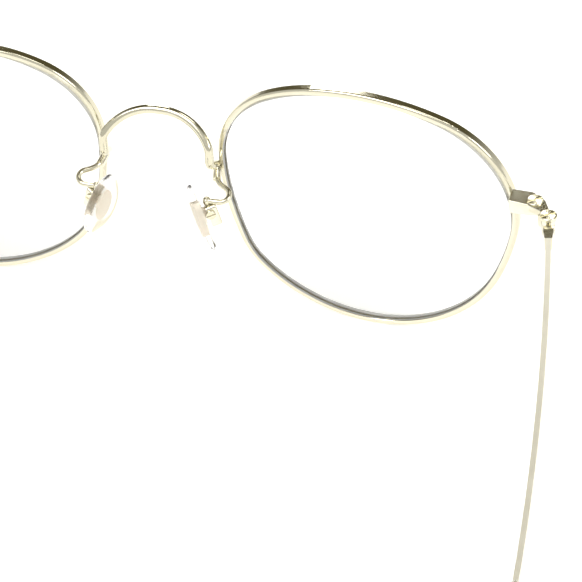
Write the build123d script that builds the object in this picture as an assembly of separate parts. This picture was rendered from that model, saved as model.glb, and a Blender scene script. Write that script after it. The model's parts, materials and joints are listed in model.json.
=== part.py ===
from build123d import *
import os
from math import cos, degrees, radians, sin, tan

# Wire spectacles with a saddle bridge, screw-closed rims and screw-on nose pads.
# Millimetres. The front faces -Y, the temples run back along +Y and +Z is up.
# Every piece is drawn for the wearer's right, at -X, and mirrored for the left.
# It is drawn about the lens centre height, and moved onto the surface it stands on at the end.

# ---- driving dimensions ----
BRIDGE_GAP = 19.9            # between the two openings at the nose
WRAP = 5.2                   # degrees, each rim turned back round the face

# The opening: tangent arcs, each (degrees of turn, radius), from the nose side going up
# and round by the top. Two radii, marked None, are worked out so that the outline closes.
OPENING_ARCS = (
    (63.0, 14.3),            # upper corner by the nose
    (17.0, 25.0),
    (27.0, 42.8),            # flat top
    (84.0, 15.75),           # upper corner by the temple
    (12.0, None),            # temple side
    (113.0, 22.9),           # deep round bottom
    (24.0, None),
    (20.0, 45.2),            # nose side
)

RIM_HEIGHT = 0.95            # rim wire, outwards from the opening
RIM_DEPTH = 1.6              # rim wire, front to back
RIM_ROUND = 0.42
GROOVE_DEPTH = 0.4
GROOVE_WIDTH = 0.7
RIM_SLIT = 0.2               # where the rim opens to take the lens
SLIT_HEIGHT = 8.4            # above the lens centre

LENS_FRONT_R = 120.0
LENS_BACK_R = 106.0
LENS_APEX = 3.9              # lens front, ahead of the rims' back face
LENS_MIDDLE = 1.65           # thickness in the middle
LENS_PLAY = 0.04             # between the lens edge and the rim
RIDGE_HEIGHT = 0.32          # ridge round the lens that sits in the groove
RIDGE_WIDTH = 0.6

BRIDGE_WIRE = 0.68           # radius
BRIDGE_ROUTE = (             # one half's corners, from a rim to the arch; then mirrored
    (-8.75, -0.6, 3.5),      # foot, brazed to the rim
    (-8.4, 2.25, 5.3),       # knee, behind the rim
    (-8.4, 2.05, 8.3),       # shoulder
    (-5.54, -0.9, 12.3),     # arch, leaning forward
)
BRIDGE_BENDS = (1.2, 1.5, 8.6)   # wire centre radii at the knee, the shoulder and the arch
ARM_WIRE = 0.42              # pad arm wire radius
ARM_KNOB = 0.58              # radius of the knob that seats on the pad box
ARM_BENDS = (3.0, 1.25, 1.25)
ARM_SOCKET_R = 0.66          # short thicker stub that the arm is brazed in
ARM_SOCKET = 2.1
ARM_ROUTE = (
    (-8.9, 0.2, 3.3),        # starts in the bridge foot
    (-9.4, 2.6, 2.5),
    (-12.3, 4.2, 2.2),       # loops behind the lens
    (-11.6, 5.9, 1.5),
    (-8.75, 5.95, 1.45),     # ends on the pad box
)

PAD_PIVOT = (-9.05, 6.0, -0.35)
PAD_FRONTAL = 15.0           # degrees, lower ends apart
PAD_SPLAY = 28.0             # degrees, rear edges apart
PAD_LENGTH = 12.0
PAD_WIDTH = 7.0
PAD_THICK = 1.6
PAD_BACK = 0.85              # from the pivot to the pad's back face
PAD_DROP = 0.6               # pad centre below the pivot
CORE_WIDTH = 2.8
CORE_LENGTH = 6.0
CORE_THICK = 0.3
CORE_DEPTH = 0.5             # silicone behind the core
BOX_WIDE = 2.3
BOX_TALL = 3.7                # from its top edge down; the pivot is nearer the top
BOX_RISE = 1.2                # top edge above the pivot
BOX_BACK = 1.25
BOX_FRONT = 0.42
BOX_SLOT = 0.9
BOX_FLOOR = 0.35
TAB_THICK = 0.78
TAB_R = 0.75
PAD_SCREW_R = 0.4
PAD_SCREW_HEAD_R = 0.78
PAD_SCREW_HEAD = 0.4
RUN_GAP = 0.03               # radial clearance of a running pin

PLATE_TOP = 9.6              # top of the end piece, above the lens centre
BLOCK_THICK = 1.1            # lower half, below the slit
LOCK_SCREW = (-59.5, 5.4)
LOCK_SHAFT_R = 0.5
LOCK_HEAD_R = 1.25
LOCK_HEAD = 0.45

HINGE = (-62.2, 8.9)
BARREL_R = 1.05
BARREL_TOP = 9.75
BARREL_END = 1.0             # height of each of the two front knuckles
BARREL_MID = 0.95            # height of the temple's knuckle
BARREL_GAP = 0.05
HINGE_SHAFT_R = 0.55
HINGE_HEAD_R = 1.3
HINGE_HEAD = 0.55
LEAF_LENGTH = 4.2
LEAF_THICK = 1.5

TEMPLE_OUT = 12.1            # degrees, heading at the hinge, away from the head
TEMPLE_BOW_R = 650.0         # plan radius of the front stretch
TIP_BOW_R = 190.0            # plan radius further back
BOW_CHANGE = 70.0            # length of the front stretch
TEMPLE_THICK = 0.8
TEMPLE_START = 2.2           # behind the hinge axis
TEMPLE_TALL = 2.3
TEMPLE_SLIM = 1.4            # height at the ear bend
TIP_START = 80.0             # Y where the sleeve starts
TIP_THICK = 2.7
TIP_TALL = 3.4
TIP_PADDLE = 5.4
EAR_BEND = 101.0             # Y of the ear bend's corner
EAR_DROP = 46.0              # degrees below level
EAR_R = 20.0

# ---- worked-out places ----


def closed_radii(arcs):
    """Radii of the outline with the two open ones solved, because closure is linear in them."""
    heading = 90.0
    steps = []
    for turn, _ in arcs:
        a, b = radians(heading), radians(heading - turn)
        steps.append((sin(a) - sin(b), cos(b) - cos(a)))
        heading -= turn
    open_ones = [i for i, (_, r) in enumerate(arcs) if r is None]
    sx = sum(steps[i][0] * r for i, (_, r) in enumerate(arcs) if r is not None)
    sy = sum(steps[i][1] * r for i, (_, r) in enumerate(arcs) if r is not None)
    (ax, ay), (bx, by) = steps[open_ones[0]], steps[open_ones[1]]
    det = ax * by - ay * bx
    radii = [r for _, r in arcs]
    radii[open_ones[0]] = (-sx * by + sy * bx) / det
    radii[open_ones[1]] = (-sy * ax + sx * ay) / det
    return radii


def opening_wire(grow=0.0):
    """The opening's outline in the lens plane, offset outwards by grow."""
    radii = closed_radii(OPENING_ARCS)
    x, y, heading = -grow, 0.0, 90.0
    edges = []
    for (turn, _), r in zip(OPENING_ARCS, radii):
        r = r + grow
        cx = x + r * sin(radians(heading))
        cy = y - r * cos(radians(heading))
        start = degrees_of(x - cx, y - cy)
        edges.append(CenterArc((cx, cy), r, start, -turn))
        x = cx + r * cos(radians(start - turn))
        y = cy + r * sin(radians(start - turn))
        heading -= turn
    return Wire(edges)


def degrees_of(dx, dy):
    """Direction of a vector in degrees."""
    angle = Vector(1, 0, 0).get_signed_angle(Vector(dx, dy, 0), Vector(0, 0, 1))
    return angle


OUTLINE = opening_wire()
OUTLINE_BOX = OUTLINE.bounding_box()
OUTLINE_DOWN = (OUTLINE_BOX.max.Y + OUTLINE_BOX.min.Y) / 2      # nose-most point to centre
HALF_OPENING = OUTLINE_BOX.size.Y / 2
LENS_MID = (OUTLINE_BOX.max.X + OUTLINE_BOX.min.X) / 2

# The lens plane of the right rim: X to the temple, Y up, Z back to the face.
LENS_PLANE = Plane(
    origin=(-BRIDGE_GAP / 2, 0, -OUTLINE_DOWN),
    x_dir=(-cos(radians(WRAP)), sin(radians(WRAP)), 0),
    z_dir=(sin(radians(WRAP)), cos(radians(WRAP)), 0),
)


def seen_from_row(shape):
    """Carries a shape from the right lens plane to the row frame."""
    return LENS_PLANE.location * shape


def block(points, low, high):
    """Prism with a plan outline, between two heights."""
    return Pos(0, 0, low) * extrude(make_face(Polyline(*points, close=True)), high - low)


def post(place, radius, low, high):
    """Upright round post."""
    return Pos(place[0], place[1], low) * Cylinder(radius, high - low, align=STANDING)


STANDING = (Align.CENTER, Align.CENTER, Align.MIN)
HANGING = (Align.CENTER, Align.CENTER, Align.MAX)
STAND_HEIGHT = HALF_OPENING + RIM_HEIGHT          # lens centre above the surface
SLIT_TOP = SLIT_HEIGHT + RIM_SLIT / 2
SLIT_BOTTOM = SLIT_HEIGHT - RIM_SLIT / 2

# ---- rims and lenses ----


def make_rim():
    """Grooved eyewire round the opening, slit at the temple side."""
    groove_low = -(RIM_DEPTH + GROOVE_WIDTH) / 2
    ring = Pos(0, 0, -RIM_DEPTH) * extrude(make_face(opening_wire(RIM_HEIGHT)), RIM_DEPTH)
    ring = fillet(ring.faces().filter_by(Axis.Z).edges(), RIM_ROUND)
    ring -= extrude(make_face(opening_wire()), 2 * RIM_DEPTH, both=True)
    ring -= Pos(0, 0, groove_low) * extrude(make_face(opening_wire(GROOVE_DEPTH)), GROOVE_WIDTH)
    slit = Pos(2 * LENS_MID, SLIT_HEIGHT + OUTLINE_DOWN, 0) * Box(8, RIM_SLIT, 8)
    return seen_from_row(ring - slit)


def make_lens():
    """Clear meniscus lens with a ridge round its edge for the rim's groove."""
    blank = extrude(make_face(opening_wire(-LENS_PLAY)), 6, both=True)
    front_z = LENS_FRONT_R - LENS_APEX
    back_z = LENS_BACK_R - LENS_APEX + LENS_MIDDLE
    front = Pos(LENS_MID, OUTLINE_DOWN, front_z) * Rot(90, 0, 0) * Sphere(LENS_FRONT_R)
    back = Pos(LENS_MID, OUTLINE_DOWN, back_z) * Rot(90, 0, 0) * Sphere(LENS_BACK_R)
    ring = make_face(opening_wire(RIDGE_HEIGHT)) - make_face(opening_wire(-2 * RIDGE_HEIGHT))
    ridge = Pos(0, 0, -(RIM_DEPTH + RIDGE_WIDTH) / 2) * extrude(ring, RIDGE_WIDTH)
    return seen_from_row((blank & front) - back + ridge)


# ---- bridge ----


def make_bridge():
    """Saddle bridge: one wire arched over the nose, its feet turned in to the rims."""
    other_half = [(-x, y, z) for x, y, z in reversed(BRIDGE_ROUTE)]
    bends = BRIDGE_BENDS + BRIDGE_BENDS[::-1]
    path = FilletPolyline(*BRIDGE_ROUTE, *other_half, radius=bends)
    return sweep(Plane(origin=path @ 0, z_dir=path % 0) * Circle(BRIDGE_WIRE), path=path)


# ---- nose pads and what holds them ----

# The right pad's own plane: X along its width to the rear, Y up its length, Z to the nose.
PAD_UP = Vector(sin(radians(PAD_FRONTAL)), 0, cos(radians(PAD_FRONTAL)))
PAD_INWARD = Vector(cos(radians(PAD_FRONTAL)), 0, -sin(radians(PAD_FRONTAL)))
PAD_FACING = PAD_INWARD * cos(radians(PAD_SPLAY)) + Vector(0, 1, 0) * sin(radians(PAD_SPLAY))
PAD_PLANE = Plane(origin=PAD_PIVOT, x_dir=PAD_UP.cross(PAD_FACING), z_dir=PAD_FACING)


def on_pad_plane(shape):
    """Carries a shape from the right pad's plane to the row frame."""
    return PAD_PLANE.location * shape


def across_pad(radius, low, high):
    """Round bar along the pad screw's axis."""
    return Pos(low, 0, 0) * Rot(0, 90, 0) * Cylinder(radius, high - low, align=STANDING)


def make_pad_arm():
    """Bent wire from the bridge foot, round behind the lens, to the knob on the pad box."""
    path = FilletPolyline(*ARM_ROUTE, radius=ARM_BENDS)
    wire = sweep(Plane(origin=path @ 0, z_dir=path % 0) * Circle(ARM_WIRE), path=path)
    socket_plane = Plane(origin=path @ 0, z_dir=path % 0)
    wire += socket_plane * Cylinder(ARM_SOCKET_R, ARM_SOCKET, align=STANDING)
    knob = Cylinder(ARM_KNOB, 2 * ARM_KNOB)
    knob = fillet(knob.edges().filter_by(GeomType.CIRCLE), 0.6 * ARM_KNOB)
    return wire + Pos(*ARM_ROUTE[-1]) * knob


def make_pad_box():
    """Cup with two ears that the pad's tab sits between."""
    depth = BOX_BACK + BOX_FRONT
    middle = BOX_RISE - BOX_TALL / 2
    cup = Pos(0, middle, -BOX_BACK) * Box(BOX_WIDE, BOX_TALL, depth, align=STANDING)
    cup = fillet(cup.edges().filter_by(Axis.Z), 0.45)
    cup = fillet(cup.faces().sort_by(Axis.Z)[0].edges(), 0.25)
    slot = Pos(0, 0, BOX_FLOOR - BOX_BACK) * Box(BOX_SLOT, 2 * BOX_TALL, depth, align=STANDING)
    clear = across_pad(PAD_SCREW_R + RUN_GAP, 0, BOX_WIDE)
    threaded = across_pad(PAD_SCREW_R, -BOX_WIDE, 0)
    return on_pad_plane(cup - slot - clear - threaded)


def make_pad_screw():
    """Slotted screw through both ears, its head to the rear."""
    ear = BOX_WIDE / 2
    shaft = across_pad(PAD_SCREW_R, -ear, ear)
    head = across_pad(PAD_SCREW_HEAD_R, ear, ear + PAD_SCREW_HEAD)
    head = fillet(head.edges().sort_by(Axis.X)[-1], 0.15)
    slot = Pos(ear + PAD_SCREW_HEAD, 0, 0) * Box(0.4, 0.26, 4 * PAD_SCREW_HEAD_R)
    return on_pad_plane(shaft + head - slot)


def make_pad_core():
    """Metal plate moulded into the pad, with the drilled tab that the screw holds."""
    start = PAD_BACK + CORE_DEPTH
    oval = Ellipse(CORE_WIDTH / 2, CORE_LENGTH / 2)
    plate = Pos(0, -PAD_DROP, start) * extrude(oval, CORE_THICK)
    tab = across_pad(TAB_R, -TAB_THICK / 2, TAB_THICK / 2)
    tab += Box(TAB_THICK, 2 * TAB_R, start, align=STANDING)
    hole = across_pad(PAD_SCREW_R + RUN_GAP, -TAB_THICK, TAB_THICK)
    return on_pad_plane(plate + tab - hole)


def make_nose_pad(core):
    """Oval silicone pad with rounded edges, moulded round its core."""
    oval = Ellipse(PAD_WIDTH / 2, PAD_LENGTH / 2)
    pad = Pos(0, -PAD_DROP, PAD_BACK) * extrude(oval, PAD_THICK)
    pad = fillet(pad.faces().sort_by(Axis.Z)[-1].edges(), 0.95)
    pad = fillet(pad.faces().sort_by(Axis.Z)[0].edges(), 0.45)
    return on_pad_plane(pad) - core


# ---- end piece, lock screw and hinge ----

END_PLAN = (
    (-55.4, 3.3),
    (-58.8, 3.4),
    (-60.9, 4.9),
    (-61.9, 6.9),
    (-63.3, 8.5),
    (-61.2, 9.4),
    (-60.8, 7.6),
    (-58.6, 6.6),
    (-55.6, 6.2),
)
BLOCK_PLAN = (
    (-55.5, 3.4),
    (-58.7, 3.5),
    (-60.5, 4.8),
    (-60.5, 5.85),
    (-58.6, 6.15),
    (-55.6, 6.0),
)
GUSSET_PLAN = (              # wall under the plate's inner edge, out to the knuckles
    (-58.7, 6.62),
    (-60.8, 7.62),
    (-61.6, 8.0),
    (-61.8, 7.5),
    (-61.1, 7.1),
    (-58.9, 6.3),
)
GUSSET_SLOPE = 38.0          # degrees, its lower edge falling to the lowest knuckle
WEB_INNER_R = BARREL_R + 0.32
WEB_OUTER_R = 2.3
WEB_FROM = -85.0             # degrees about the hinge axis, seen from above
WEB_TURN = 50.0
PLATE_BOTTOM = SLIT_TOP
HEAD_SEAT = 0.2              # depth the lock screw's head is let into the plate
TOP_KNUCKLE = BARREL_TOP - BARREL_END
MID_TOP = TOP_KNUCKLE - BARREL_GAP
MID_BOTTOM = MID_TOP - BARREL_MID
LOW_KNUCKLE_TOP = MID_BOTTOM - BARREL_GAP
LOW_KNUCKLE = LOW_KNUCKLE_TOP - BARREL_END


def rounded_block(points, rounds, low, high):
    """Prism whose plan corners, given by index, are rounded."""
    face = make_face(Polyline(*points, close=True))
    for index, radius in rounds.items():
        corner = face.vertices().sort_by_distance((points[index][0], points[index][1], 0))[0]
        face = fillet(corner, radius)
    return Pos(0, 0, low) * extrude(face, high - low)


def web_sector(inner, low, high):
    """Part of a ring about the hinge axis."""
    start, end = radians(WEB_FROM), radians(WEB_FROM + WEB_TURN)
    far = 2 * WEB_OUTER_R
    first = (far * cos(start), far * sin(start))
    last = (far * cos(end), far * sin(end))
    wedge = block(((0, 0), first, last), low, high)
    ring = post((0, 0), WEB_OUTER_R, low, high)
    if inner:
        ring -= post((0, 0), inner, low, high)
    return Pos(HINGE[0], HINGE[1], 0) * (ring & wedge)


RIM_CORE = seen_from_row(extrude(make_face(opening_wire(RIM_HEIGHT / 2)), 8, both=True))


def make_endpiece_upper():
    """Plate on the upper rim end, bent back to the two fixed hinge knuckles."""
    piece = rounded_block(END_PLAN, {1: 1.4, 2: 1.6, 3: 1.0, 6: 0.8, 7: 1.2}, PLATE_BOTTOM, PLATE_TOP)
    top_edges = [e for e in piece.edges() if e.bounding_box().min.Z > PLATE_TOP - 0.01]
    piece = fillet(top_edges, 0.2)
    piece += post(HINGE, BARREL_R, TOP_KNUCKLE, BARREL_TOP)
    piece += web_sector(WEB_INNER_R, LOW_KNUCKLE_TOP, PLATE_BOTTOM + 0.3)
    piece += web_sector(0, LOW_KNUCKLE, LOW_KNUCKLE_TOP)
    piece += post(HINGE, BARREL_R, LOW_KNUCKLE, LOW_KNUCKLE_TOP)
    under = Pos(*GUSSET_PLAN[-1], PLATE_BOTTOM) * Rot(0, GUSSET_SLOPE, 0) * Box(8, 8, 4, align=HANGING)
    piece += block(GUSSET_PLAN, LOW_KNUCKLE, PLATE_BOTTOM) - under
    piece -= post(HINGE, WEB_INNER_R, LOW_KNUCKLE_TOP, TOP_KNUCKLE)
    piece -= post(HINGE, HINGE_SHAFT_R + RUN_GAP, MID_TOP, BARREL_TOP)
    piece -= post(HINGE, HINGE_SHAFT_R, LOW_KNUCKLE, LOW_KNUCKLE_TOP)
    piece -= post(LOCK_SCREW, LOCK_SHAFT_R + RUN_GAP, PLATE_BOTTOM, PLATE_TOP)
    piece -= post(LOCK_SCREW, LOCK_HEAD_R + RUN_GAP, PLATE_TOP - HEAD_SEAT, PLATE_TOP + 1)
    return piece


def make_endpiece_lower():
    """Threaded block on the lower rim end."""
    low = SLIT_BOTTOM - BLOCK_THICK
    piece = rounded_block(BLOCK_PLAN, {1: 1.2, 2: 0.5, 3: 0.7, 4: 1.0}, low, SLIT_BOTTOM)
    return piece - post(LOCK_SCREW, LOCK_SHAFT_R, low, SLIT_BOTTOM)


def slotted_screw(place, shaft_r, shaft_low, seat, head_r, head, round_top):
    """Upright screw: a domed, slotted head on a seat, and its shaft down to shaft_low."""
    top = fillet(post(place, head_r, seat, seat + head).edges().sort_by(Axis.Z)[-1], round_top)
    slot = Pos(place[0], place[1], seat + head) * Rot(0, 0, 35) * Box(4 * head_r, 0.34, 0.44)
    return top + post(place, shaft_r, shaft_low, seat) - slot


def make_rim_screw():
    """Lock screw that pulls the rim closed on its lens."""
    low = SLIT_BOTTOM - BLOCK_THICK
    seat = PLATE_TOP - HEAD_SEAT
    return slotted_screw(LOCK_SCREW, LOCK_SHAFT_R, low, seat, LOCK_HEAD_R, LOCK_HEAD, 0.15)


def make_hinge_screw():
    """Hinge pin and screw in one, threaded in the lowest knuckle."""
    return slotted_screw(
        HINGE, HINGE_SHAFT_R, LOW_KNUCKLE, BARREL_TOP, HINGE_HEAD_R, HINGE_HEAD, 0.25
    )


# ---- temples ----

TEMPLE_Z = (MID_TOP + MID_BOTTOM) / 2             # centre height of the temple


def arc_band(centre, radius, start, length, thick):
    """Plan shape of constant thickness along an arc that runs clockwise."""
    turn = degrees(length / radius)
    outside = CenterArc(centre, radius + thick / 2, start, -turn)
    inside = CenterArc(centre, radius - thick / 2, start, -turn)
    ends = [Line(outside @ 0, inside @ 0), Line(outside @ 1, inside @ 1)]
    return make_face([outside, inside] + ends)


def temple_band(thick):
    """The right temple seen from above: bowed out, then in towards the head."""
    first = 180 + TEMPLE_OUT
    turn = degrees(BOW_CHANGE / TEMPLE_BOW_R)
    a = radians(first)
    centre = (HINGE[0] - TEMPLE_BOW_R * cos(a), HINGE[1] - TEMPLE_BOW_R * sin(a))
    b = radians(first - turn)
    change = TEMPLE_BOW_R - TIP_BOW_R
    second = (centre[0] + change * cos(b), centre[1] + change * sin(b))
    front = arc_band(centre, TEMPLE_BOW_R, first, BOW_CHANGE, thick)
    rear = arc_band(second, TIP_BOW_R, first - turn, 1.2 * BOW_CHANGE, thick)
    return extrude(front + rear, 60, both=True)


def side_view(start, front_tall, bend_tall, end_tall, run):
    """The temple seen from the side: level, bent down at the ear, with a round end."""
    drop = radians(EAR_DROP)
    end = (EAR_BEND + run * cos(drop), TEMPLE_Z - run * sin(drop))
    lift = bend_tall / 2 * tan(drop / 2)
    across = (end_tall / 2 * sin(drop), end_tall / 2 * cos(drop))
    top_bend = (EAR_BEND + lift, TEMPLE_Z + bend_tall / 2)
    low_bend = (EAR_BEND - lift, TEMPLE_Z - bend_tall / 2)
    outline = make_face(Polyline(
        (start, TEMPLE_Z - front_tall / 2),
        (start, TEMPLE_Z + front_tall / 2),
        top_bend,
        (end[0] + across[0], end[1] + across[1]),
        (end[0] - across[0], end[1] - across[1]),
        low_bend,
        close=True,
    ))
    for corner, radius in ((top_bend, EAR_R + bend_tall / 2), (low_bend, EAR_R - bend_tall / 2)):
        outline = fillet(outline.vertices().sort_by_distance((corner[0], corner[1], 0))[0], radius)
    outline += Pos(end[0], end[1]) * Circle(end_tall / 2)
    sideways = Plane(origin=(0, 0, 0), x_dir=(0, 1, 0), z_dir=(1, 0, 0))
    return extrude(sideways.location * outline, 120, both=True)


TIP_RUN = (TEMPLE_Z + STAND_HEIGHT - TIP_PADDLE / 2) / sin(radians(EAR_DROP))
CORE_SHORT = 9.0             # the metal stops this far before the sleeve's end


def make_temple():
    """Springy metal strip, tapered to the ear and bent down inside its sleeve."""
    start = HINGE[1] + TEMPLE_START
    view = side_view(start, TEMPLE_TALL, TEMPLE_SLIM, TEMPLE_SLIM, TIP_RUN - CORE_SHORT)
    return view & temple_band(TEMPLE_THICK)


def make_temple_tip(metal):
    """Smooth sleeve over the ear end, wider at its end."""
    view = side_view(TIP_START, TIP_TALL * 0.8, TIP_TALL, TIP_PADDLE, TIP_RUN)
    return view & temple_band(TIP_THICK) - metal


def make_temple_hinge(metal):
    """The temple's knuckle and the leaf brazed round the front of the strip."""
    half = LEAF_THICK / 2
    leaf = make_face(Polyline(
        (-half, 1.5),
        (half, 1.5),
        (half, 2.9),
        (TEMPLE_THICK / 2 + 0.15, LEAF_LENGTH),
        (-TEMPLE_THICK / 2 - 0.15, LEAF_LENGTH),
        (-half, 2.9),
        close=True,
    ))
    leaf = Pos(0, 0, TEMPLE_Z - TEMPLE_TALL / 2) * extrude(leaf, TEMPLE_TALL)
    tang = Pos(0, 0.9, TEMPLE_Z) * Box(LEAF_THICK * 0.8, 1.8, BARREL_MID)
    knuckle = post((0, 0), BARREL_R, MID_BOTTOM, MID_TOP)
    piece = leaf + tang + knuckle - post((0, 0), HINGE_SHAFT_R + RUN_GAP, MID_BOTTOM, MID_TOP)
    return Pos(HINGE[0], HINGE[1], 0) * Rot(0, 0, TEMPLE_OUT) * piece - metal


# ---- assembly ----

rim = make_rim()
bridge_wire = make_bridge()
arm = make_pad_arm()
box = make_pad_box()
core = make_pad_core()
temple = make_temple()
left_rim = mirror(rim, about=Plane.YZ)
right_pieces = {
    "rim": rim,
    "lens": make_lens(),
    "pad_arm": arm - rim - bridge_wire - box,
    "pad_box": box,
    "pad_screw": make_pad_screw(),
    "pad_core": core,
    "nose_pad": make_nose_pad(core),
    "endpiece_upper": make_endpiece_upper() - RIM_CORE - rim,
    "endpiece_lower": make_endpiece_lower() - RIM_CORE - rim,
    "rim_screw": make_rim_screw(),
    "hinge_screw": make_hinge_screw(),
    "temple_hinge": make_temple_hinge(temple),
    "temple": temple,
    "temple_tip": make_temple_tip(temple),
}
pieces = {"bridge": bridge_wire - rim - left_rim}
for name, shape in right_pieces.items():
    pieces[name + "_right"] = shape
    pieces[name + "_left"] = mirror(shape, about=Plane.YZ)

boxes = [shape.bounding_box() for shape in pieces.values()]
front = min(b.min.Y for b in boxes)
back = max(b.max.Y for b in boxes)
to_stand = Pos(0, -(front + back) / 2, STAND_HEIGHT)

os.makedirs("parts", exist_ok=True)
for name, shape in pieces.items():
    export_step(to_stand * shape, f"parts/{name}.step")

hinge_at = to_stand * Pos(HINGE[0], HINGE[1], TEMPLE_Z)
pad_at = to_stand * Pos(*PAD_PIVOT)
print("hinge axis, right:", hinge_at.position)
print("pad pivot, right:", pad_at.position, "axis:", PAD_PLANE.x_dir)
print("surface to lens centre:", STAND_HEIGHT, "front to back:", back - front)
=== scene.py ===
# %% [markdown]
# # Wire eyeglasses, dressed for the camera
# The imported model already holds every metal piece, lens and pad at its true size.
# This lesson gives those pieces their finishes, swaps a few plain pieces for softer shapes,
# and sets up a bright table, studio light and a camera that looks down from behind.

# %% Load the frame
import json
from math import cos, pi, radians, sin, sqrt

import bmesh
import bpy
from mathutils import Matrix, Vector


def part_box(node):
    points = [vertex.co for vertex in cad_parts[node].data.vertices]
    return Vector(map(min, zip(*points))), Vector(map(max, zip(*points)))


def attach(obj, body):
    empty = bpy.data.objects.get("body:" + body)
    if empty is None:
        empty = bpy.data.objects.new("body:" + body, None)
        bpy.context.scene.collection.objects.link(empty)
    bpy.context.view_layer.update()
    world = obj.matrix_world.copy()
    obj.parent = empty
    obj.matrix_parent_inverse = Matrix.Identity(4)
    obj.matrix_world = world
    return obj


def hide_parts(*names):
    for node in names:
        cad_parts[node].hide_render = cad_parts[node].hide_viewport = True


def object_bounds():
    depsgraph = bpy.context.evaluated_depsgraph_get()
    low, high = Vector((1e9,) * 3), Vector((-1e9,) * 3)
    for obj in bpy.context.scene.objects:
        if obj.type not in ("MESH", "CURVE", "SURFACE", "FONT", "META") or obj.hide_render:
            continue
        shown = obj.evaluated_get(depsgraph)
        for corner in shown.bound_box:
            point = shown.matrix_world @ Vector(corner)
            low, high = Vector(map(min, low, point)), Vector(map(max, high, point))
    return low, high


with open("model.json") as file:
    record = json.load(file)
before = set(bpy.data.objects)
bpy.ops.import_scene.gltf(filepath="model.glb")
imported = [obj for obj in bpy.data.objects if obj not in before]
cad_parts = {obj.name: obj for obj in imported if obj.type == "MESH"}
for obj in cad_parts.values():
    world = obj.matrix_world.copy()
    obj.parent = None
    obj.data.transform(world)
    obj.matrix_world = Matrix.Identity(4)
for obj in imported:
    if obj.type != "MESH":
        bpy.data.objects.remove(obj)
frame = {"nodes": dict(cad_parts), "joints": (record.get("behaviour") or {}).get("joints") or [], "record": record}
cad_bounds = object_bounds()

nodes = frame["nodes"]
SIDES = {"right": -1, "left": 1}     # sign of X for the wearer's right and left
MM = 0.001
low, high = cad_bounds
print("frame box in mm:", [round((h - l) / MM, 1) for l, h in zip(low, high)])

# %% [markdown]
# ## Smooth shading
# Turned and swept metal shows an even highlight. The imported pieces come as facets, so each is
# shaded smooth, and an angle limit keeps the true edges crisp. Nothing in the mesh moves.

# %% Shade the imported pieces
EDGE_ANGLE = radians(32)


def shade(piece, angle=EDGE_ANGLE):
    """Smooth shading up to an angle, sharp edges beyond it."""
    mesh = piece.data
    mesh.polygons.foreach_set("use_smooth", [True] * len(mesh.polygons))
    shape = bmesh.new()
    shape.from_mesh(mesh)
    sharp = [False] * len(mesh.edges)
    for edge in shape.edges:
        if len(edge.link_faces) == 2:
            sharp[edge.index] = edge.calc_face_angle(0) > angle
    shape.free()
    mesh.edges.foreach_set("use_edge_sharp", sharp)


print("pieces in the frame:", len(nodes))

# %% [markdown]
# ## Node groups that several finishes share
# Polished plate isn't perfectly even: its tone drifts a little, fine hairlines cross it and
# handling rubs the edges bright. Each effect is a node group with plain names on its sockets,
# so that every material sets its own strength. The object's own coordinates drive them, in
# metres, so a scale of 1000 makes one feature per millimetre.

# %% A helper that builds node groups


def new_group(name, inputs, outputs):
    """An empty node group with named inputs (name, kind, value) and outputs (name, kind)."""
    group = bpy.data.node_groups.new(name, "ShaderNodeTree")
    for label, kind, value in inputs:
        socket = group.interface.new_socket(label, in_out="INPUT", socket_type="NodeSocket" + kind)
        socket.default_value = value
    for label, kind in outputs:
        group.interface.new_socket(label, in_out="OUTPUT", socket_type="NodeSocket" + kind)
    source = group.nodes.new("NodeGroupInput")
    target = group.nodes.new("NodeGroupOutput")
    return group, source.outputs, target.inputs


def add(tree, kind, **values):
    """Adds a node and sets its plain properties."""
    node = tree.nodes.new("ShaderNode" + kind)
    for name, value in values.items():
        setattr(node, name, value)
    return node


def link(tree, start, end):
    """Joins an output to an input."""
    tree.links.new(start, end)


def math(tree, operation, first, second):
    """A math node; each of its two inputs is a number or an output."""
    node = add(tree, "Math", operation=operation)
    for socket, value in zip(node.inputs, (first, second)):
        if isinstance(value, (int, float)):
            socket.default_value = value
        else:
            link(tree, value, socket)
    return node.outputs[0]


# %% Plate: drifting tone, hairlines and bright edges
plate, given, result = new_group(
    "plated_surface",
    [
        ("Tone", "Color", (0.8, 0.75, 0.6, 1)),
        ("Deep tone", "Color", (0.6, 0.5, 0.3, 1)),
        ("Rubbed tone", "Color", (0.9, 0.88, 0.8, 1)),
        ("Roughness", "Float", 0.1),
        ("Hairline strength", "Float", 0.3),
    ],
    [("Colour", "Color"), ("Roughness", "Float"), ("Normal", "Vector")],
)
place = add(plate, "TexCoord").outputs["Object"]
drift = add(plate, "TexNoise")
drift.inputs["Scale"].default_value = 420
drift.inputs["Detail"].default_value = 5
link(plate, place, drift.inputs["Vector"])
tone = add(plate, "Mix", data_type="RGBA")
link(plate, given["Tone"], tone.inputs["A"])
link(plate, given["Deep tone"], tone.inputs["B"])
link(plate, math(plate, "MULTIPLY", drift.outputs["Fac"], 0.55), tone.inputs["Factor"])
edge = add(plate, "ValToRGB")
edge.color_ramp.elements[0].position = 0.52
edge.color_ramp.elements[1].position = 0.6
link(plate, add(plate, "NewGeometry").outputs["Pointiness"], edge.inputs["Fac"])
patchy = math(plate, "MULTIPLY", edge.outputs["Color"], drift.outputs["Fac"])
rubbed = add(plate, "Mix", data_type="RGBA")
link(plate, tone.outputs["Result"], rubbed.inputs["A"])
link(plate, given["Rubbed tone"], rubbed.inputs["B"])
link(plate, patchy, rubbed.inputs["Factor"])
link(plate, rubbed.outputs["Result"], result["Colour"])
hair = add(plate, "TexNoise")
hair.inputs["Scale"].default_value = 5200
hair.inputs["Detail"].default_value = 3
hair.inputs["Distortion"].default_value = 1.5
link(plate, place, hair.inputs["Vector"])
cloud = math(plate, "MULTIPLY", drift.outputs["Fac"], 0.08)
link(plate, math(plate, "ADD", given["Roughness"], cloud), result["Roughness"])
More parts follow.
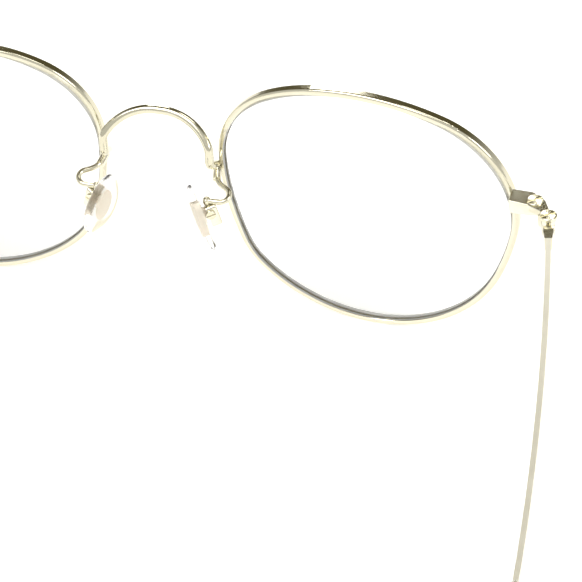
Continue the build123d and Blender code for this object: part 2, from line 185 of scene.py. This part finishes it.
relief = add(plate, "Bump")
relief.inputs["Distance"].default_value = 0.000004
link(plate, hair.outputs["Fac"], relief.inputs["Height"])
link(plate, given["Hairline strength"], relief.inputs["Strength"])
link(plate, relief.outputs["Normal"], result["Normal"])

# %% Turned rings: the lathe marks on a screw head
turned, given, result = new_group(
    "turned_rings",
    [("Centre", "Vector", (0, 0, 0)), ("Axis", "Vector", (0, 0, 1)), ("Rings per metre", "Float", 9000.0)],
    [("Height", "Float")],
)
place = add(turned, "TexCoord").outputs["Object"]
arm = add(turned, "VectorMath", operation="SUBTRACT")
link(turned, place, arm.inputs[0])
link(turned, given["Centre"], arm.inputs[1])
across = add(turned, "VectorMath", operation="CROSS_PRODUCT")
link(turned, arm.outputs[0], across.inputs[0])
link(turned, given["Axis"], across.inputs[1])
reach = add(turned, "VectorMath", operation="LENGTH")
link(turned, across.outputs[0], reach.inputs[0])
phase = math(turned, "MULTIPLY", reach.outputs["Value"], given["Rings per metre"])
wave = math(turned, "SINE", math(turned, "MULTIPLY", phase, 2 * pi), 0)
link(turned, wave, result["Height"])

# %% Handling: the faint smears that fingers leave on clear and soft pieces
handled, given, result = new_group(
    "handling_marks",
    [("Clean roughness", "Float", 0.0), ("Smear roughness", "Float", 0.05), ("Size", "Float", 90.0)],
    [("Roughness", "Float"), ("Marks", "Float")],
)
place = add(handled, "TexCoord").outputs["Object"]
smear = add(handled, "TexNoise")
smear.inputs["Detail"].default_value = 6
smear.inputs["Distortion"].default_value = 0.8
link(handled, place, smear.inputs["Vector"])
link(handled, given["Size"], smear.inputs["Scale"])
where = add(handled, "MapRange")
where.inputs["From Min"].default_value = 0.5
where.inputs["From Max"].default_value = 0.75
link(handled, smear.outputs["Fac"], where.inputs["Value"])
between = add(handled, "Mix", data_type="FLOAT")
link(handled, where.outputs["Result"], between.inputs["Factor"])
link(handled, given["Clean roughness"], between.inputs["A"])
link(handled, given["Smear roughness"], between.inputs["B"])
link(handled, between.outputs["Result"], result["Roughness"])
link(handled, where.outputs["Result"], result["Marks"])
print("node groups:", [g.name for g in bpy.data.node_groups])

# %% [markdown]
# ## Metal finishes
# The frame is plated pale gold, close to champagne. A polished metal takes most of its look
# from what it reflects, so its own colour stays light and its roughness low. Screws get the
# same plate with lathe rings added, and the springy temple strip is a touch less polished.

# %% Build the metals


def new_material(name):
    """A material with a Principled shader, and its node tree."""
    made = bpy.data.materials.new(name)
    made.use_nodes = True
    return made, made.node_tree, made.node_tree.nodes["Principled BSDF"]


def use_group(tree, group, **values):
    """Places a node group; values are given by socket name, with _ for a space."""
    node = add(tree, "Group", node_tree=group)
    for name, value in values.items():
        node.inputs[name.replace("_", " ")].default_value = value
    return node


def metal(name, tone, deep, roughness, hairline):
    """Plated metal."""
    made, tree, shader = new_material(name)
    surface = use_group(
        tree,
        plate,
        Tone=tone,
        Deep_tone=deep,
        Rubbed_tone=(0.93, 0.9, 0.8, 1),
        Roughness=roughness,
        Hairline_strength=hairline,
    )
    link(tree, surface.outputs["Colour"], shader.inputs["Base Color"])
    link(tree, surface.outputs["Roughness"], shader.inputs["Roughness"])
    link(tree, surface.outputs["Normal"], shader.inputs["Normal"])
    shader.inputs["Metallic"].default_value = 1
    return made, tree, shader, surface


CHAMPAGNE = (0.73, 0.70, 0.57, 1)
OLD_CHAMPAGNE = (0.62, 0.575, 0.40, 1)
gold = metal("champagne_plate", CHAMPAGNE, OLD_CHAMPAGNE, 0.09, 0.25)[0]
strip = metal("temple_plate", (0.84, 0.82, 0.71, 1), (0.76, 0.73, 0.60, 1), 0.3, 0.5)[0]
steel = metal("core_plate", (0.98, 0.90, 0.80, 1), (0.95, 0.84, 0.72, 1), 0.6, 0.4)[0]


def screw_metal(name, centre, axis):
    """Plate over a turned head, with its rings about the screw's own axis."""
    made, tree, shader, surface = metal(name, (0.82, 0.78, 0.60, 1), OLD_CHAMPAGNE, 0.12, 0.3)
    rings = use_group(tree, turned, Centre=centre, Axis=axis, Rings_per_metre=9000.0)
    relief = add(tree, "Bump")
    relief.inputs["Distance"].default_value = 0.000006
    relief.inputs["Strength"].default_value = 0.6
    link(tree, rings.outputs["Height"], relief.inputs["Height"])
    link(tree, surface.outputs["Normal"], relief.inputs["Normal"])
    link(tree, relief.outputs["Normal"], shader.inputs["Normal"])
    return made


# %% [markdown]
# ## Lens, silicone and acetate
# The lens is clear with a coating that kills reflections, which a thin film gives. Silicone is
# clear too, but softer: it blurs what is behind it. The ear tip is pale, half clear acetate,
# where warmer clouds float in a paler body, so the colour comes from a slow noise.

# %% Build the clear finishes
lens_clear, tree, shader = new_material("coated_lens")
marks = use_group(tree, handled, Clean_roughness=0.0, Smear_roughness=0.012, Size=70.0)
link(tree, marks.outputs["Roughness"], shader.inputs["Roughness"])
shader.inputs["Base Color"].default_value = (0.985, 0.99, 0.985, 1)
shader.inputs["Transmission Weight"].default_value = 1
shader.inputs["IOR"].default_value = 1.5
shader.inputs["Thin Film Thickness"].default_value = 105
shader.inputs["Thin Film IOR"].default_value = 1.36

ground, tree, shader = new_material("ground_lens_edge")
frost = add(tree, "TexNoise")
frost.inputs["Scale"].default_value = 3000
frost.inputs["Detail"].default_value = 4
link(tree, add(tree, "TexCoord").outputs["Object"], frost.inputs["Vector"])
chalk = add(tree, "Mix", data_type="RGBA")
chalk.inputs["A"].default_value = (0.86, 0.86, 0.84, 1)
chalk.inputs["B"].default_value = (0.95, 0.95, 0.93, 1)
link(tree, frost.outputs["Fac"], chalk.inputs["Factor"])
link(tree, chalk.outputs["Result"], shader.inputs["Base Color"])
relief = add(tree, "Bump")
relief.inputs["Distance"].default_value = 0.00001
relief.inputs["Strength"].default_value = 0.5
link(tree, frost.outputs["Fac"], relief.inputs["Height"])
link(tree, relief.outputs["Normal"], shader.inputs["Normal"])
shader.inputs["Roughness"].default_value = 0.7
shader.inputs["Transmission Weight"].default_value = 0.45
shader.inputs["IOR"].default_value = 1.3

silicone, tree, shader = new_material("clear_silicone")
marks = use_group(tree, handled, Clean_roughness=0.08, Smear_roughness=0.22, Size=500.0)
link(tree, marks.outputs["Roughness"], shader.inputs["Roughness"])
tint = add(tree, "Mix", data_type="RGBA")
tint.inputs["A"].default_value = (0.99, 0.985, 0.975, 1)
tint.inputs["B"].default_value = (0.975, 0.96, 0.93, 1)
link(tree, marks.outputs["Marks"], tint.inputs["Factor"])
link(tree, tint.outputs["Result"], shader.inputs["Base Color"])
grain = add(tree, "TexNoise")
grain.inputs["Scale"].default_value = 2600
relief = add(tree, "Bump")
relief.inputs["Distance"].default_value = 0.00001
relief.inputs["Strength"].default_value = 0.35
link(tree, add(tree, "TexCoord").outputs["Object"], grain.inputs["Vector"])
link(tree, grain.outputs["Fac"], relief.inputs["Height"])
link(tree, relief.outputs["Normal"], shader.inputs["Normal"])
shader.inputs["Transmission Weight"].default_value = 1
shader.inputs["IOR"].default_value = 1.2

# %% Build the acetate
acetate, tree, shader = new_material("pale_acetate")
place = add(tree, "TexCoord").outputs["Object"]
cloud = add(tree, "TexNoise")
cloud.inputs["Scale"].default_value = 160
cloud.inputs["Detail"].default_value = 3
cloud.inputs["Distortion"].default_value = 1.2
link(tree, place, cloud.inputs["Vector"])
ramp = add(tree, "ValToRGB")
ramp.color_ramp.elements[0].position = 0.36
ramp.color_ramp.elements[0].color = (0.80, 0.68, 0.50, 1)
ramp.color_ramp.elements[1].position = 0.64
ramp.color_ramp.elements[1].color = (0.93, 0.87, 0.75, 1)
link(tree, cloud.outputs["Fac"], ramp.inputs["Fac"])
link(tree, ramp.outputs["Color"], shader.inputs["Base Color"])
marks = use_group(tree, handled, Clean_roughness=0.1, Smear_roughness=0.26, Size=300.0)
link(tree, marks.outputs["Roughness"], shader.inputs["Roughness"])
relief = add(tree, "Bump")
relief.inputs["Distance"].default_value = 0.00001
relief.inputs["Strength"].default_value = 0.3
link(tree, cloud.outputs["Fac"], relief.inputs["Height"])
link(tree, relief.outputs["Normal"], shader.inputs["Normal"])
shader.inputs["Transmission Weight"].default_value = 0.7
shader.inputs["IOR"].default_value = 1.35
shader.inputs["Coat Weight"].default_value = 0.4
shader.inputs["Coat Roughness"].default_value = 0.06

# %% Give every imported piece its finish
FINISH = {
    "lens_clear": lens_clear,
    "pad_silicone": silicone,
    "tip_plastic": acetate,
    "frame_gold": gold,
    "temple_gold": strip,
    "pad_core_metal": steel,
}
slots = {part["node"]: part["material_slot"] for part in frame["record"]["subparts"]}


def paint(piece, material):
    """Puts one material on a piece."""
    piece.data.materials.clear()
    piece.data.materials.append(material)


for name, piece in nodes.items():
    shade(piece)
    if slots[name] in FINISH:
        paint(piece, FINISH[slots[name]])

# %% [markdown]
# A lens is cut to shape on a grinding wheel, so its edge is frosted while its two faces stay
# clear. Seen through the lens, that edge is the pale ring just inside the rim. The edge faces
# are found by their direction: they look across the lens, not along its thickness.

# %% Frost the ground edges
EDGE_LEAN = 0.6                      # largest part of an edge normal along the lens axis
WRAP = radians(5.2)                  # each lens is turned back this far round the face
for side, sign in SIDES.items():
    lens = nodes[f"lens_{side}"]
    lens.data.materials.append(ground)
    axis = Vector((sign * sin(WRAP), -cos(WRAP), 0))
    edge_faces = 0
    for face in lens.data.polygons:
        if abs(face.normal.dot(axis)) < EDGE_LEAN:
            face.material_index = 1
            edge_faces += 1
    print(lens.name, "frosted faces:", edge_faces)

# %% Give each screw its lathe rings
joints = {joint["name"]: joint for joint in frame["joints"]}
for side in SIDES:
    for kind in ("rim_screw", "hinge_screw"):
        piece = nodes[f"{kind}_{side}"]
        corner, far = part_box(piece.name)
        middle = (corner + far) / 2
        paint(piece, screw_metal(f"turned_{piece.name}", middle, (0, 0, 1)))
    pivot = joints[f"pad_{side}_rock"]
    piece = nodes[f"pad_screw_{side}"]
    paint(piece, screw_metal(f"turned_{piece.name}", pivot["pos_m"], pivot["axis"]))
print("painted", len(nodes), "pieces")

# %% [markdown]
# ## Nose pads
# A silicone pad is a soft drop: narrower at the top, crowned where it rests on the nose and
# rounded at its edge. It could be sculpted, but a closed profile carried round a drop-shaped
# outline gives an even surface, and the same mesh mirrored serves the other side. It is set on
# the joint that the pad rocks about, and stands for the plain packed pad.

# %% Shape one pad from its profile
PAD_LEAN = radians(15)               # top of the pad in towards the nose
PAD_HALF_WIDTH = 3.45
PAD_HALF_LENGTH = 6.0
PAD_CENTRE = -0.6                    # below the screw
PAD_BACK = 0.85                      # from the screw's axis to the pad's back
PAD_NARROWING = 0.13                 # how much slimmer the top is than the middle
CROWN_RISE = 0.03                    # the crown's middle above its first ring
PAD_PROFILE = (                      # (share of the outline, height above the back), mm
    (0.3, 1.72), (0.62, 1.6), (0.84, 1.34), (0.96, 0.98),
    (1.0, 0.6), (0.97, 0.26), (0.87, 0.06), (0.6, 0.0), (0.3, 0.0),
)
PAD_STEPS = 48


def mesh_piece(name, points, faces):
    """A mesh object from points in metres and faces, smooth all over."""
    mesh = bpy.data.meshes.new(name)
    mesh.from_pydata(points, [], faces)
    mesh.update()
    mesh.polygons.foreach_set("use_smooth", [True] * len(mesh.polygons))
    piece = bpy.data.objects.new(name, mesh)
    bpy.context.scene.collection.objects.link(piece)
    return piece


def ring_faces(rings, steps):
    """Quads between rings of points, with a pole point at each end."""
    faces = []
    for r in range(rings - 1):
        for k in range(steps):
            n = (k + 1) % steps
            faces.append((r * steps + k, r * steps + n, (r + 1) * steps + n, (r + 1) * steps + k))
    first, last = rings * steps, rings * steps + 1
    for k in range(steps):
        n = (k + 1) % steps
        faces.append((first, n, k))
        faces.append((last, (rings - 1) * steps + k, (rings - 1) * steps + n))
    return faces


def smooth_out(piece, levels):
    """A subdivision surface, so that the rings read as one curve."""
    surface = piece.modifiers.new("smooth", "SUBSURF")
    surface.levels = levels
    surface.render_levels = levels


def mirrored(point, sign):
    """A point of the right-hand piece, or its mirror image for the left."""
    return Vector((-sign * point.x, point.y, point.z))


def pad_point(turn, share, height):
    """A point on the right pad, from its place on the outline and its height."""
    wide = PAD_HALF_WIDTH * sin(turn) * (1 - PAD_NARROWING * cos(turn)) * share
    tall = PAD_HALF_LENGTH * cos(turn) * share + PAD_CENTRE
    return pad_pivot + (pad_axis * wide + pad_up * tall + pad_out * (PAD_BACK + height)) * MM


pad_pivot = Vector(joints["pad_right_rock"]["pos_m"])
pad_axis = Vector(joints["pad_right_rock"]["axis"])
pad_up = Vector((sin(PAD_LEAN), 0, cos(PAD_LEAN)))
pad_out = pad_axis.cross(pad_up)
pad_points = []
for share, height in PAD_PROFILE:
    for k in range(PAD_STEPS):
        pad_points.append(pad_point(2 * pi * k / PAD_STEPS, share, height))
pad_points.append(pad_point(0, 0, PAD_PROFILE[0][1] + CROWN_RISE))
pad_points.append(pad_point(0, 0, 0))
for side, sign in SIDES.items():
    faces = ring_faces(len(PAD_PROFILE), PAD_STEPS)
    if sign > 0:
        faces = [face[::-1] for face in faces]
    pad = mesh_piece(f"soft_pad_{side}", [mirrored(point, sign) for point in pad_points], faces)
    smooth_out(pad, 1)
    paint(pad, silicone)
    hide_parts(f"nose_pad_{side}")
    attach(pad, f"pad_{side}")
    print(pad.name, "faces:", len(faces))

# %% [markdown]
# ## Ear tips
# A tip is a slim sleeve pushed over the metal: oval in section, snug where it starts, widening
# to a flat paddle with a round end behind the ear. A bevelled curve would keep one section all
# along, so the sleeve is lofted instead: an oval is set at many stations on the temple's own
# path, each with its own height and thickness.

# %% Follow the temple's path
TEMPLE_OUT = radians(12.1)           # heading at the hinge, out from straight back
BOW_R = 650.0
TIP_BOW_R = 190.0
BOW_CHANGE = 70.0                    # along the temple, where the bow tightens
EAR_BEND = 92.1                      # behind the hinge
EAR_DROP = radians(46)
EAR_R = 20.0
TIP_START = 72.0                     # behind the hinge


def bow(back):
    """How far out the temple stands at a distance straight back from the hinge, mm."""
    turned = TEMPLE_OUT - BOW_CHANGE / BOW_R
    change_back = BOW_R * (sin(TEMPLE_OUT) - sin(turned))
    if back < change_back:
        heading_sine = sin(TEMPLE_OUT) - back / BOW_R
        return BOW_R * (sqrt(1 - heading_sine**2) - cos(TEMPLE_OUT))
    heading_sine = sin(turned) - (back - change_back) / TIP_BOW_R
    change_out = BOW_R * (cos(turned) - cos(TEMPLE_OUT))
    return change_out + TIP_BOW_R * (sqrt(1 - heading_sine**2) - cos(turned))


def drop(run):
    """(distance back, height) on the temple's centre line after a run along it, mm."""
    bend_start = EAR_BEND - EAR_R * sin(EAR_DROP / 2) / cos(EAR_DROP / 2)
    if run < bend_start:
        return run, 0.0
    turned = min((run - bend_start) / EAR_R, EAR_DROP)
    left = run - bend_start - turned * EAR_R
    back = bend_start + EAR_R * sin(turned) + left * cos(turned)
    return back, -EAR_R * (1 - cos(turned)) - left * sin(turned)


hinge = Vector(joints["temple_right_fold"]["pos_m"])


def path_point(run):
    """A point of the right temple's centre line, in the frame's metres."""
    back, height = drop(run)
    return hinge + Vector((-bow(back), back, height)) * MM


# %% Loft the sleeves
TIP_STEPS = 28
TIP_STATIONS = 64
COLLAR = 5.0                         # length over which the sleeve swells from the strip
START_THICK, TIP_THICK = 1.5, 2.6
START_TALL, TIP_TALL, PADDLE_TALL = 2.3, 3.3, 5.3
SQUARENESS = 2.5                     # 2 is an oval, more is boxier
PADDLE_FROM = 12.0                   # along the tip, where it starts to widen
LIP = 0.35                           # rounding where the sleeve starts
END_THICKNESS = 0.45                 # share of its thickness that the round end keeps
END_CLOSING = 3                      # how late in the round end the thickness runs out
STEP = 0.2                           # along the path, to find its heading
floor_height = hinge.z / MM - PADDLE_TALL / 2
run_end = EAR_BEND - 2 * EAR_R * sin(EAR_DROP / 2) / cos(EAR_DROP / 2) + EAR_R * EAR_DROP
run_end += floor_height / sin(EAR_DROP)
length = run_end + PADDLE_TALL / 2 - TIP_START


def ease(value):
    """0 to 1 with soft ends."""
    value = max(0.0, min(1.0, value))
    return value * value * (3 - 2 * value)


def tip_section(station):
    """The ring of points at a station, from 0 at the collar to 1 at the round end."""
    along = station * length
    run = TIP_START + along
    spot = path_point(run)
    ahead = (path_point(run + STEP) - path_point(run - STEP)).normalized()
    outward = ahead.cross(Vector((0, 0, 1))).normalized()
    up = outward.cross(ahead)
    swell = ease(along / COLLAR)
    thick = START_THICK + (TIP_THICK - START_THICK) * swell
    tall = START_TALL + (TIP_TALL - START_TALL) * swell
    tall += (PADDLE_TALL - TIP_TALL) * ease((along - PADDLE_FROM) / (length - PADDLE_FROM))
    from_end = length - along
    cap = PADDLE_TALL / 2
    closing = sqrt(max(0.0, 1 - ((cap - from_end) / cap) ** 2)) if from_end < cap else 1.0
    from_start = along / LIP
    opening = sqrt(1 - (1 - from_start) ** 2) if from_start < 1 else 1.0
    points = []
    for k in range(TIP_STEPS):
        turn = 2 * pi * k / TIP_STEPS
        c, s = cos(turn), sin(turn)
        wide = abs(c) ** (2 / SQUARENESS) * (1 if c > 0 else -1)
        high_part = abs(s) ** (2 / SQUARENESS) * (1 if s > 0 else -1)
        kept = END_THICKNESS + (1 - END_THICKNESS) * closing
        sideways = outward * wide * thick * kept * opening / 2 * min(1, closing * END_CLOSING)
        upward = up * high_part * tall * closing * opening / 2
        points.append(spot + (sideways + upward) * MM)
    return points


LIP_STATIONS = [0.0005, 0.002, 0.005]
END_STATIONS = [0.988, 0.994, 0.998, 0.9996]
even = [k / (TIP_STATIONS - 1) for k in range(1, TIP_STATIONS - 1)]
stations = sorted(LIP_STATIONS + even + END_STATIONS)
tip_points = [point for station in stations for point in tip_section(station)]
tip_points.append(path_point(TIP_START))
tip_points.append(path_point(TIP_START + length))
for side, sign in SIDES.items():
    faces = ring_faces(len(stations), TIP_STEPS)
    if sign > 0:
        faces = [face[::-1] for face in faces]
    tip = mesh_piece(f"ear_tip_{side}", [mirrored(point, sign) for point in tip_points], faces)
    paint(tip, acetate)
    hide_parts(f"temple_tip_{side}")
    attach(tip, f"temple_arm_{side}")
    print(tip.name, "length in mm:", round(length, 1))

# %% [markdown]
# ## Table, light and camera
# The glasses stand on a white table that runs out past the picture. A large soft light behind
# the camera fills the metal with broad highlights, and a darker part of the room in front gives
# the thin dark lines that tell the eye that this is polished metal.

# %% Lay the table
TABLE_HALF = 6.0
TABLE_GLOW = 0.42                    # its own light, which lifts the shadows out of view
bpy.ops.mesh.primitive_plane_add(size=2 * TABLE_HALF, location=(0, 0, 0))
table = bpy.context.object
table.name = "table"
white, tree, shader = new_material("white_table")
shader.inputs["Base Color"].default_value = (0.93, 0.925, 0.915, 1)
shader.inputs["Roughness"].default_value = 0.45
grain = add(tree, "TexNoise")
grain.inputs["Scale"].default_value = 900
relief = add(tree, "Bump")
relief.inputs["Distance"].default_value = 0.00002
relief.inputs["Strength"].default_value = 0.2
link(tree, add(tree, "TexCoord").outputs["Object"], grain.inputs["Vector"])
link(tree, grain.outputs["Fac"], relief.inputs["Height"])
link(tree, relief.outputs["Normal"], shader.inputs["Normal"])
shader.inputs["Emission Color"].default_value = (1, 0.998, 0.99, 1)
shader.inputs["Emission Strength"].default_value = TABLE_GLOW
paint(table, white)

# %% Fill the room: bright all round, darker high up in front
ROOM_LIGHT = (1.0, 0.995, 0.97, 1)
ROOM_DARK = (0.15, 0.132, 0.066, 1)
DARK_HEIGHT = radians(43)            # the dark part's middle, above the horizon in front
DARK_SIDE = 0.12                     # and a little to +X
DARK_FROM, DARK_FULL = 0.35, 0.85    # cosine from its middle, where it starts and is full
ROOM_STRENGTH = 0.72
room = bpy.data.worlds.new("room")
bpy.context.scene.world = room
room.use_nodes = True
tree = room.node_tree
towards = add(tree, "VectorMath", operation="DOT_PRODUCT")
towards.inputs[1].default_value = (DARK_SIDE, -cos(DARK_HEIGHT), sin(DARK_HEIGHT))
link(tree, add(tree, "TexCoord").outputs["Generated"], towards.inputs[0])
fade = add(tree, "MapRange", interpolation_type="SMOOTHSTEP")
fade.inputs["From Min"].default_value = DARK_FROM
fade.inputs["From Max"].default_value = DARK_FULL
link(tree, towards.outputs["Value"], fade.inputs["Value"])
wall = add(tree, "Mix", data_type="RGBA")
wall.inputs["A"].default_value = ROOM_LIGHT
wall.inputs["B"].default_value = ROOM_DARK
link(tree, fade.outputs["Result"], wall.inputs["Factor"])
light = tree.nodes["Background"]
light.inputs["Strength"].default_value = ROOM_STRENGTH
link(tree, wall.outputs["Result"], light.inputs["Color"])

# %% Hang the soft light behind the camera
focus = Vector((-0.02, -0.05, 0.02))


def area_lamp(name, spot, back, size, power, colour):
    """A square area light at a spot, with its back turned to a direction."""
    data = bpy.data.lights.new(name, "AREA")
    data.size = size
    data.energy = power
    data.color = colour
    lamp = bpy.data.objects.new(name, data)
    lamp.location = spot
    lamp.rotation_euler = back.to_track_quat("Z", "Y").to_euler()
    bpy.context.scene.collection.objects.link(lamp)


def soft_light(name, azimuth, elevation, distance, size, power, colour):
    """A lamp that faces the glasses from an azimuth and elevation in degrees."""
    a, e = radians(azimuth), radians(elevation)
    back = Vector((sin(a) * cos(e), -cos(a) * cos(e), sin(e)))
    area_lamp(name, focus + back * distance, back, size, power, colour)


soft_light("key_light", 150, 62, 1.1, 0.7, 5, (1.0, 0.985, 0.95))
soft_light("side_light", 255, 35, 1.2, 0.5, 4, (1.0, 0.99, 0.96))
soft_light("far_light", 20, 30, 1.4, 0.35, 3, (1.0, 0.99, 0.97))

# %% Set a small pale panel above the front, which the flat temples partly mirror
panel_spot = Vector((-0.11, -0.20, 0.42))
panel_aim = Vector((-0.07, 0.04, 0.03))
area_lamp("panel", panel_spot, panel_spot - panel_aim, 0.15, 0.2, (1.0, 0.99, 0.96))

# %% Place the camera
CAMERA_AZIMUTH = 198.05
CAMERA_ELEVATION = 40.93
CAMERA_ROLL = -3.99
CAMERA_DISTANCE = 0.54068
CAMERA_AIM = Vector((-0.0192, -0.0641, 0.00235))
LENS_MM = 214.55
a, e, roll = radians(CAMERA_AZIMUTH), radians(CAMERA_ELEVATION), radians(CAMERA_ROLL)
back = Vector((sin(a) * cos(e), -cos(a) * cos(e), sin(e)))
level = Vector((cos(a), sin(a), 0))
upright = back.cross(level)
across = level * cos(roll) + upright * sin(roll)
above = upright * cos(roll) - level * sin(roll)
eye = bpy.data.cameras.new("camera")
eye.sensor_width = 36
eye.lens = LENS_MM
eye.clip_start = 0.01
camera = bpy.data.objects.new("camera", eye)
bpy.context.scene.collection.objects.link(camera)
turn = Matrix((across, above, back)).transposed()
camera.matrix_world = Matrix.Translation(CAMERA_AIM + back * CAMERA_DISTANCE) @ turn.to_4x4()
bpy.context.scene.camera = camera
bpy.context.scene.view_settings.view_transform = "Standard"
